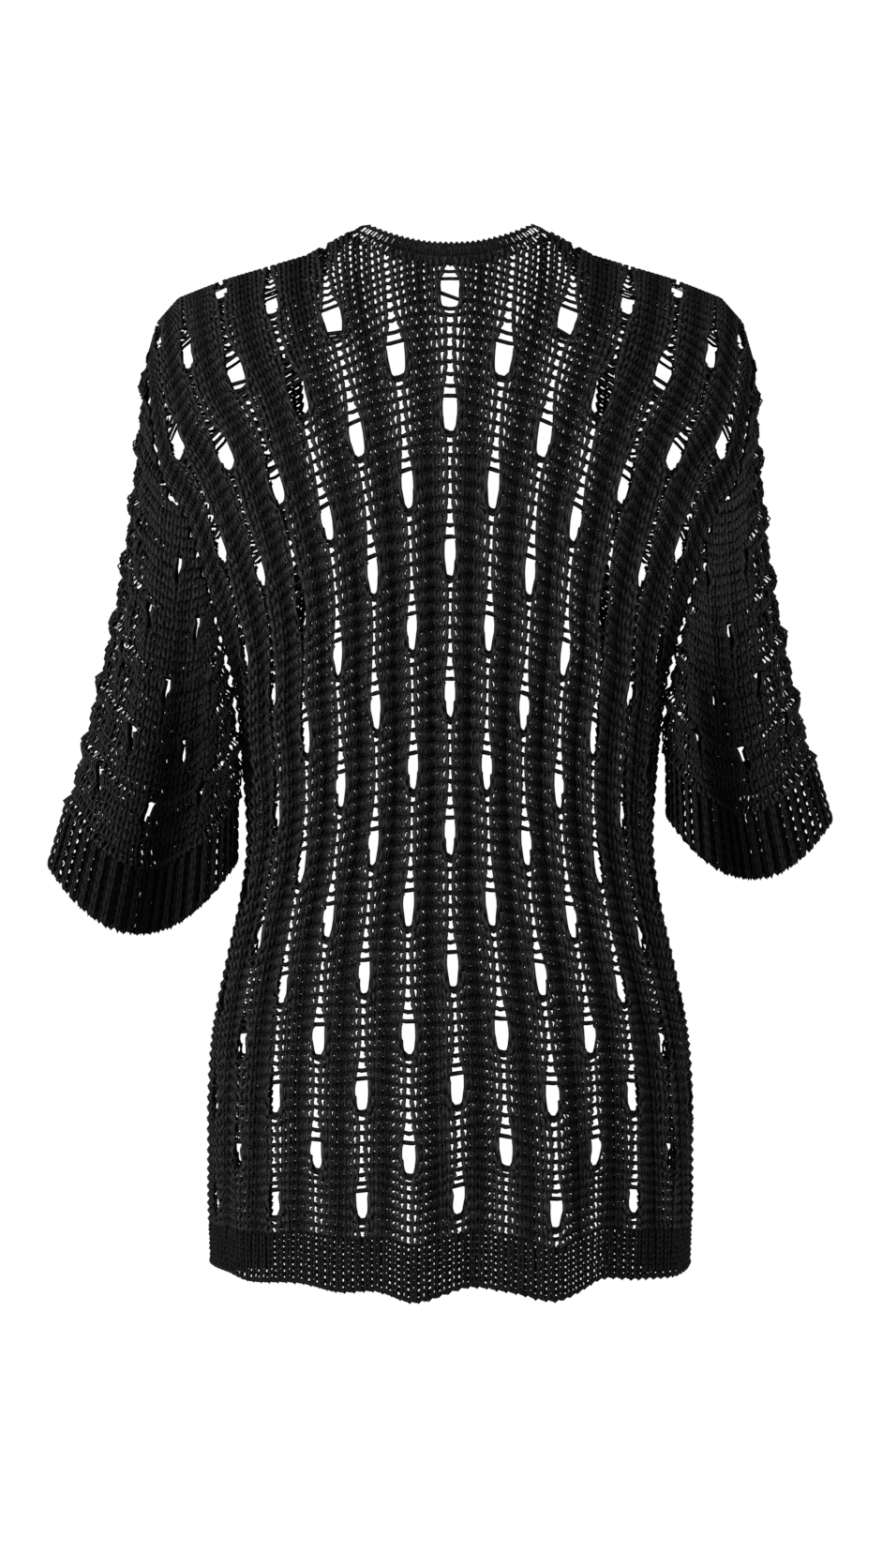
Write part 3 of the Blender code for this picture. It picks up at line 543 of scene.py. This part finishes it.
# ---------------------------------------------------------------- hem
# Fine rib under each panel in the same tape, pulled tight, with five ridges to a column. A cast-on cord
# lies along its edge, and its last row meets the panel's first.
HEM_HEIGHT = 38 * MM
HEM_RIDGES = 5
HEM_ROWS = 8
HEM_YARN = (0.86, 1.3)
HEM_RIDGE = 1.3 * MM  # how far a ridge stands out
HEM_FLAT_COLUMN = 0.041  # a column's width in metres, laid flat
HEM_FLAT_HEIGHT = 1.2 * HEM_HEIGHT
RIB_DEPTH = 0.8 * MM
RIB_HEIGHT = 0.70  # half a loop's height, in rows
RIB_LEAN = 0.14
RIB_DRAWN = 0.02  # how far a wale's two legs are drawn together, in wales
RIB_SPAN = 5 * MM
# Painted shade: the ribs' colour is darkened to this share.
RIB_PAINTED_SHADE = 0.50
CORD_LIFT = 0.05  # how far the cast-on cord lies above the edge, in rows
CORD_WAVE = 0.14
CORD_PAINTED_SHADE = (0.7, 0.3)  # its painted shade, and how much that changes along a loop


def rib_strands(place, normal, first, last, rows, spacing, height, size, ridge, width, shade):
    """Rows of tight loops whose wales stand out as ridges with grooves between them, over a cast-on cord."""
    cord = np.linspace(first, last, 4 * (last - first) + 1)
    cord_up = (CORD_LIFT + CORD_WAVE * np.sin(2 * math.pi * cord)) * spacing
    cord_out = ridge * np.cos(2 * math.pi * (cord - 0.5) / width)
    cord_normals = normal(cord, cord_up)
    cord_path = place(cord, cord_up) + cord_normals * cord_out[:, None]
    # Painted shade on the cord, lighter and darker along its loops.
    cord_light = shade(cord) * (CORD_PAINTED_SHADE[0] + CORD_PAINTED_SHADE[1] * np.cos(2 * math.pi * cord))
    strands = [(cord_path, cord_normals, size, cord_light)]
    for row in range(rows):
        across, up, depth = loops(row, first, last, height, RIB_LEAN, RIB_DEPTH)
        across = across + RIB_DRAWN * np.sin(2 * math.pi * across)
        crest = np.cos(2 * math.pi * (across - 0.5) / width) if ridge else np.ones_like(across)
        out = depth + ridge * crest
        rise = (row + 0.5 + up) * spacing
        normals = normal(across, rise)
        path = place(across, rise) + normals * out[:, None]
        kept = thin_out(path, LOOP_PLACES["plain"], RIB_SPAN)
        # Painted shade: the given share, darker at the back of loops and between the ridges.
        proud = shade(across) * painted_relief_shade(depth / RIB_DEPTH, crest)
        strands.append((path[kept], normals[kept], size, proud[kept]))
    return strands


def rib_painted_shade(loop):
    """Painted shade: ribs are painted darker than the open knit."""
    return np.full_like(loop, RIB_PAINTED_SHADE)


hem_top = section("height", 0.0) - section("height", -5.0)
HEM_COURSES = 5.0 * HEM_HEIGHT / (float(hem_top) * MM)
for name, face, low, high in (
    ("hem_back", -1, -SIDE_COLUMN, SIDE_COLUMN),
    ("hem_front_left", 1, -SIDE_COLUMN, -FRONT_EDGE[0][1]),
    ("hem_front_right", 1, FRONT_EDGE[0][1], SIDE_COLUMN),
):
    count = round((high - low) * HEM_RIDGES)

    def hem_place(loop, rung, low=low, high=high, count=count, face=face):
        column = np.clip(low + loop * (high - low) / count, -SIDE_COLUMN, SIDE_COLUMN)
        return torso_point(column, rung - HEM_COURSES, face)

    def hem_normal(loop, rung, place=hem_place, face=face):
        return normal_of(place, loop, rung, 0.2, -face)

    spacing = HEM_COURSES / HEM_ROWS
    strands = rib_strands(
        hem_place, hem_normal, 0, count, HEM_ROWS, spacing, RIB_HEIGHT, HEM_YARN, HEM_RIDGE, 1, rib_painted_shade
    )
    flat = (HEM_FLAT_COLUMN * (high - low), HEM_FLAT_HEIGHT)
    give(tube_mesh(name + "_knit", strands), [name], flat)

# ---------------------------------------------------------------- neck and front bands
# Two rows of tight loops in the same tape, picked up round the neck and along each front edge. They
# cover the panels' last loops.
BAND_COLUMNS = 0.33  # how wide a front band is
BAND_LOOP = 6.0 * MM
BAND_HEIGHT = 0.52  # half a loop's height, in rows
BAND_ROWS = 2
NECK_YARN = (0.89, 1.1)
NECK_LENGTH = 0.19
NECK_COLUMN = 1.68  # where the band's lower edge ends
NECK_TIP_COLUMN = 1.35  # where its upper edge ends, on the shoulder line
NECK_NARROWED = 0.8  # the upper edge's columns as a share of the lower edge's, where its height is read
FRONT_BAND_YARN = (0.75, 1.1)
FRONT_BAND_LENGTH = 0.80
FRONT_BAND_TIP = 1.5  # the column of its end on the shoulder line


def band_strands(edge, inner, face, length, size):
    """Rows of loops along a band: edge and inner give chart points at shares of its length."""
    count = int(length / BAND_LOOP)

    def place(loop, row):
        share = np.clip(loop / count, 0, 1)
        part = row / BAND_ROWS
        near, far = edge(share), inner(share)
        return torso_point(near[0] + (far[0] - near[0]) * part, near[1] + (far[1] - near[1]) * part, face)

    def normal(loop, row):
        share = np.clip(loop / count, 0.001, 0.999)
        near = edge(share)
        return torso_normal(near[0], near[1], face)

    return rib_strands(place, normal, 0, count, BAND_ROWS, 1.0, BAND_HEIGHT, size, 0.0, 1, rib_painted_shade)


band_columns = np.linspace(-NECK_COLUMN, NECK_COLUMN, 121)
band_low = top_course(band_columns, -1, NECK_BAND)
band_high = top_course(band_columns * NECK_NARROWED, -1, 0)
neck = band_strands(
    lambda s: (NECK_TIP_COLUMN * (2 * s - 1), np.interp(NECK_COLUMN * (2 * s - 1), band_columns, band_high)),
    lambda s: (NECK_COLUMN * (2 * s - 1), np.interp(NECK_COLUMN * (2 * s - 1), band_columns, band_low)),
    -1,
    NECK_LENGTH,
    NECK_YARN,
)
give(tube_mesh("neck_band_knit", neck), ["neck_band"], (0.21, 0.017))

for side, name in ((-1, "front_band_left"), (1, "front_band_right")):
    top = float(top_course(side * FRONT_BAND_TIP, 1))

    def band_course(share, top=top):
        return -HEM_COURSES + share * (top + HEM_COURSES)

    strands = band_strands(
        lambda s, side=side: (side * (front_edge_column(band_course(s)) - BAND_COLUMNS), band_course(s)),
        lambda s, side=side: (side * front_edge_column(band_course(s)), band_course(s)),
        1,
        FRONT_BAND_LENGTH,
        FRONT_BAND_YARN,
    )
    give(tube_mesh(name + "_knit", strands), [name], (0.80, 0.012))

# ---------------------------------------------------------------- sleeves and cuffs
# Each sleeve is a tube of closer knit in the same tape, 54 loops round, with rows of small holes 44 mm
# apart and a raised welt over each. Its top rows lie on the armhole's edge, and its cuff is a rib of 45
# wide ridges. A sleeve's chart goes round the arm in columns and up from the cuff in courses.
ARM_COLUMNS = ("side", "outer_x", "outer_z", "inner_x", "inner_z", "low_z")
ARMS = {
    "left": (-1, 284, -455, 153, -452, -502),
    "right": (1, 270, -423, 156, -420, -463),
}
CUFF_HEIGHT = 45 * MM
CUFF_BACK = 62 * MM
CUFF_FRONT = 56 * MM
SLEEVE_COLUMNS = 18
SLEEVE_COURSE = 6.7 * MM
SLEEVE_LAP = 3.4 * MM
HOLLOWS = ((0.27, 0.055, 0.42), (0.73, 0.07, 0.30))
SLEEVE_PLEAT = 1.6 * MM
INNER_DRAWN = 3  # millimetres by which the sleeve's cloth lies inside a straight line to the cuff
OUTER_DRAWN = 10
SLEEVE_ROUND = 10  # millimetres by which it lies outside that line on the back and the front

SLEEVE_LOOPS = 3  # to a column
SLEEVE_ROW = 1.1  # in courses
SLEEVE_YARN = (0.80, 1.3)
SLEEVE_HEIGHT = 0.54  # half a loop's height, in rows
SLEEVE_CUT = {"left": ((0.46, 0.33), 0.080), "right": ((0.46, 0.29), 0.068)}  # flat size, and area
SLEEVE_HOLE_FIRST = 4.5  # courses from the cuff up to the lowest row of holes
SLEEVE_HOLE_STEP = 6.5
SLEEVE_HOLE_ROWS = 8
SLEEVE_HOLE_SEED = 2.0  # courses from a row of holes up to their seeds
SLEEVE_HOLE_CLEAR = 3.2  # courses that a row of holes keeps from the armhole
SLEEVE_HOLE_HALF = 0.16  # in columns
SLEEVE_HOLE_UNDER = 2.2
SLEEVE_HOLE_OVER = 0.9
SLEEVE_LADDER = 1.4
WELT_OVER = 2.2  # courses from a row of holes up to its welt
WELT_HIGH = 3.0 * MM
WELT_WIDE = 0.6
GROOVE_DEEP = 2.0 * MM
GROOVE_WIDE = 0.8
GROOVE_OFF = 1.6  # courses from a welt to the groove on each side of it
# Painted shade: the sleeves' colour is darkened to this share.
SLEEVE_PAINTED_SHADE = 0.78
SLEEVE_SPAN = 6 * MM
HOLLOW_PAINTED_SHADE = 0.92  # painted shade: how much of its colour the cloth loses in a hollow
# The same painted shade in the cuff's hollows.
CUFF_HOLLOW_PAINTED_SHADE = 0.88
CUFF_RIDGES = 45
CUFF_ROWS = 6
CUFF_YARN = (0.79, 1.3)
CUFF_RIDGE = 2.0 * MM


def arm_value(arm, name):
    return ARMS[arm][ARM_COLUMNS.index(name)]


def on_armhole(arm, turn, place):
    """Reads a torso place round the armhole: turn 0 is the shoulder tip, 0.25 the back, 0.5 the underarm."""
    turn = np.asarray(turn, float) % 1.0
    half = np.where(turn <= 0.5, turn, 1 - turn) * 2
    edge = arm_value(arm, "side") * SIDE_COLUMN
    tip = top_course(edge, 1)
    course = tip + (UNDERARM[arm] - tip) * half
    column = np.full_like(course, edge)
    back, front = place(column, course, -1), place(column, course, 1)
    return np.where((turn <= 0.5)[..., None], back, front)


def cuff_point(arm, turn, up):
    """The loop that lies `up` metres above the cuff's edge."""
    side = arm_value(arm, "side")
    outer_x, inner_x = arm_value(arm, "outer_x") * MM, arm_value(arm, "inner_x") * MM
    outer_z, inner_z = arm_value(arm, "outer_z") * MM, arm_value(arm, "inner_z") * MM
    sag = (outer_z + inner_z) / 2 - arm_value(arm, "low_z") * MM
    angle = 2 * math.pi * turn
    depth = np.where(np.sin(angle) > 0, CUFF_BACK, CUFF_FRONT)
    for place, width, share in HOLLOWS:
        depth = depth * (1 - share * np.exp(-(((turn % 1.0 - place) / width) ** 2)))
    x = side * ((outer_x + inner_x) / 2 + (outer_x - inner_x) / 2 * np.cos(angle))
    y = -depth * np.sin(angle)
    z = (outer_z + inner_z) / 2 + (outer_z - inner_z) / 2 * np.cos(angle)
    z = z - sag * np.sin(angle) ** 2
    lean = np.stack([-side * (0.15 + 0.14 * np.cos(angle)), 0.04 * np.sin(angle), np.ones_like(angle)], -1)
    return np.stack([x, y, z], axis=-1) + unit(lean) * np.asarray(up)[..., None]


def sleeve_form(arm, turn, reach):
    """Sleeve cloth without its pleats: reach 0 at the armhole and 1 at the top of the cuff."""
    turn, reach = np.broadcast_arrays(np.asarray(turn, float), np.asarray(reach, float))
    start = on_armhole(arm, turn, torso_form) + on_armhole(arm, turn, torso_normal) * SLEEVE_LAP
    end = cuff_point(arm, turn, np.full(turn.shape, CUFF_HEIGHT))
    angle = 2 * math.pi * turn
    bulge = np.sin(math.pi * reach)
    outer = (1 + np.cos(angle)) / 2
    sideways = -arm_value(arm, "side") * bulge * (INNER_DRAWN * (1 - outer) + OUTER_DRAWN * outer**2)
    point = start + (end - start) * reach[..., None]
    outwards = -SLEEVE_ROUND * bulge * np.sin(angle)
    return point + np.stack([sideways, outwards, np.zeros_like(reach)], -1) * MM


def sleeve_length(arm, turn):
    turn = np.asarray(turn, float)
    gap = cuff_point(arm, turn, np.full(turn.shape, CUFF_HEIGHT)) - on_armhole(arm, turn, torso_form)
    return np.linalg.norm(gap, axis=-1)


def in_hollow(turn):
    """Where the sleeves get painted shade: 1 in the middle of the hollows that the arm's fold makes in a
    sleeve, 0 clear of them.
    """
    return sum(np.exp(-(((turn % 1.0 - place) / (1.4 * width)) ** 2)) for place, width, _ in HOLLOWS)


def sleeve_surface(arm, column, course):
    """Points and normals of the sleeve's cloth, with its pleats."""
    turn = column / SLEEVE_COLUMNS
    reach = np.clip(1 - course * SLEEVE_COURSE / sleeve_length(arm, turn), -0.02, 1.02)
    step = 0.004
    around = sleeve_form(arm, turn + step, reach) - sleeve_form(arm, turn - step, reach)
    along = sleeve_form(arm, turn, reach + step) - sleeve_form(arm, turn, reach - step)
    normal = unit(np.cross(around, along) * arm_value(arm, "side"))
    pleat = SLEEVE_PLEAT * np.cos(2 * math.pi * column) * np.sin(math.pi * np.clip(reach, 0, 1))
    over = course - SLEEVE_HOLE_FIRST - WELT_OVER
    off = (over + SLEEVE_HOLE_STEP / 2) % SLEEVE_HOLE_STEP - SLEEVE_HOLE_STEP / 2
    raised = WELT_HIGH * np.exp(-((off / WELT_WIDE) ** 2))
    raised -= GROOVE_DEEP * np.exp(-(((np.abs(off) - GROOVE_OFF) / GROOVE_WIDE) ** 2))
    return sleeve_form(arm, turn, reach) + normal * (pleat + raised)[:, None], normal


for arm in ("left", "right"):
    side = arm_value(arm, "side")
    round_count = SLEEVE_COLUMNS * SLEEVE_LOOPS
    wale = (np.arange(round_count) + 0.5) / SLEEVE_LOOPS
    tops = sleeve_length(arm, wale / SLEEVE_COLUMNS) / SLEEVE_COURSE
    holes = []
    for step in range(SLEEVE_HOLE_ROWS):
        hole_course = SLEEVE_HOLE_FIRST + SLEEVE_HOLE_STEP * step
        for c in range(step % 2, SLEEVE_COLUMNS, 2):
            if hole_course + SLEEVE_HOLE_CLEAR < tops[c * SLEEVE_LOOPS]:
                holes.append((c, hole_course + SLEEVE_HOLE_SEED))
    columns, courses, depths, marks = [], [], [], []
    for row in range(int(tops.max() / SLEEVE_ROW) + 1):
        inside = tops > (row + 0.5) * SLEEVE_ROW
        first, last = 0, round_count
        if not inside.all():
            gap = np.flatnonzero(~inside)
            first, last = int(gap[-1]) + 1 - round_count, int(gap[0])
        if last - first < 2:
            continue
        across, up, depth = loops(row, first, last, SLEEVE_HEIGHT, LOOP_LEAN, LOOP_DEPTH)
        columns.append(across / SLEEVE_LOOPS)
        courses.append((row + 0.5 + up) * SLEEVE_ROW)
        depths.append(depth)
        marks.append(len(across))
    column, course, depth = (np.concatenate(a) for a in (columns, courses, depths))
    wrapped = [(c + turn, n) for c, n in holes for turn in (-SLEEVE_COLUMNS, 0, SLEEVE_COLUMNS)]
    column, course = open_holes(
        column,
        course,
        wrapped,
        lambda c, n: SLEEVE_HOLE_HALF,
        SLEEVE_HOLE_UNDER,
        SLEEVE_HOLE_OVER,
        SLEEVE_LADDER,
    )
    point, normal = sleeve_surface(arm, column, course)
    point = point + normal * depth[:, None]
    # Painted shade: darker at the back of loops, and much darker in the hollows towards the cuff.
    hollow = in_hollow(column / SLEEVE_COLUMNS)
    from_cuff = course * SLEEVE_COURSE / sleeve_length(arm, column / SLEEVE_COLUMNS)
    low_down = 1 - smoothstep(0.3, 0.9, from_cuff)
    proud = SLEEVE_PAINTED_SHADE * painted_relief_shade(depth / LOOP_DEPTH, 1.0) * (1 - HOLLOW_PAINTED_SHADE * hollow * low_down)
    strands, start = [], 0
    for count in marks:
        path, out = point[start : start + count], normal[start : start + count]
        kept = thin_out(path, LOOP_PLACES["plain"], SLEEVE_SPAN)
        strands.append((path[kept], out[kept], SLEEVE_YARN, proud[start : start + count][kept]))
        start += count
    piece = tube_mesh("sleeve_" + arm + "_knit", strands)
    halves = [f"sleeve_{arm}_back", f"sleeve_{arm}_front"]
    flat, area = SLEEVE_CUT[arm]
    give(piece, halves, flat, area)

    def ring(loop, row, arm=arm):
        return cuff_point(arm, loop / (2 * CUFF_RIDGES), row * CUFF_HEIGHT / CUFF_ROWS)

    def ring_normal(loop, row, arm=arm, side=side, ring=ring):
        return normal_of(ring, loop, row, 0.2, -side)

    # Painted shade on the cuff's ribs, darkest in its hollows.
    def cuff_painted_shade(loop):
        return RIB_PAINTED_SHADE * (1 - CUFF_HOLLOW_PAINTED_SHADE * in_hollow(loop / (2 * CUFF_RIDGES)))

    wales = 2 * CUFF_RIDGES
    cuff = rib_strands(
        ring, ring_normal, 0, wales, CUFF_ROWS, 1.0, RIB_HEIGHT, CUFF_YARN, CUFF_RIDGE, 2, cuff_painted_shade
    )
    give(tube_mesh("cuff_" + arm + "_knit", cuff), ["cuff_" + arm], (0.52, 0.052))

# ---------------------------------------------------------------- studio
# An evenly bright white sweep under and far behind the garment, soft light from all round and two wide
# panels in front. The sweep's wall is so far off that the garment can be seen from its other side too.
paper = bpy.data.materials.new("white_sweep")
paper.use_nodes = True
paper_shader = paper.node_tree.nodes["Principled BSDF"]
paper_shader.inputs["Base Color"].default_value = (0.02, 0.02, 0.02, 1.0)
paper_shader.inputs["Roughness"].default_value = 0.95
paper_shader.inputs["Specular IOR Level"].default_value = 0.0
paper_shader.inputs["Emission Color"].default_value = (1.0, 1.0, 1.0, 1.0)
paper_shader.inputs["Emission Strength"].default_value = 1.0
SWEEP_FLOOR = -1.4
SWEEP_FRONT = -12.0
SWEEP_BACK = 8.5
SWEEP_ROUND = 1.5
SWEEP_TOP = 9.0
SWEEP_HALF_WIDTH = 14.0
profile = [(SWEEP_FRONT, SWEEP_FLOOR), (SWEEP_BACK, SWEEP_FLOOR)]
for a in np.linspace(0.1, math.pi / 2, 12):
    profile.append((SWEEP_BACK + SWEEP_ROUND * math.sin(a), SWEEP_FLOOR + SWEEP_ROUND * (1 - math.cos(a))))
profile.append((SWEEP_BACK + SWEEP_ROUND, SWEEP_TOP))
sweep_points = [(x, y, z) for y, z in profile for x in (-SWEEP_HALF_WIDTH, SWEEP_HALF_WIDTH)]
sweep_faces = [(2 * k, 2 * k + 1, 2 * k + 3, 2 * k + 2) for k in range(len(profile) - 1)]
sweep_mesh = bpy.data.meshes.new("sweep")
sweep_mesh.from_pydata(sweep_points, [], sweep_faces)
sweep_mesh.shade_smooth()
sweep_mesh.materials.append(paper)
sweep = bpy.data.objects.new("sweep", sweep_mesh)
bpy.context.scene.collection.objects.link(sweep)

world = bpy.data.worlds.new("studio")
world.use_nodes = True
world.node_tree.nodes["Background"].inputs["Color"].default_value = (1.0, 1.0, 1.0, 1.0)
world.node_tree.nodes["Background"].inputs["Strength"].default_value = 0.14
bpy.context.scene.world = world
for name, spot, aim, size, power in (
    ("key", (-2.3, -1.8, 0.8), (0, 0, -0.35), 1.1, 105),
    ("fill", (2.3, -2.0, 0.3), (0, 0, -0.4), 1.2, 34),
):
    bpy.ops.object.light_add(type="AREA", location=spot)
    light = bpy.context.object
    light.name = name
    light.data.size = size
    light.data.energy = power
    direction = np.array(aim, float) - np.array(spot, float)
    flat_reach = math.hypot(direction[0], direction[1])
    swing = math.atan2(-direction[0], direction[1])
    light.rotation_euler = (math.atan2(flat_reach, -direction[2]), 0, swing)

# ---------------------------------------------------------------- camera
# Level with the garment's middle, eight metres off and square to its back, as in a catalogue picture.
# Its long lens shows 1.1 metres of height there.
CAMERA_FAR = 8.0
VIEW_HEIGHT = 1.1147  # metres in the picture's long side at the garment
SENSOR = 36.0
bpy.ops.object.camera_add(location=(-0.0063, -CAMERA_FAR, -0.3973), rotation=(math.pi / 2, 0, 0))
camera = bpy.context.object
camera.data.sensor_width = SENSOR
camera.data.lens = SENSOR * CAMERA_FAR / VIEW_HEIGHT
camera.data.clip_end = 100.0
bpy.context.scene.camera = camera
bpy.context.scene.view_settings.view_transform = "Standard"
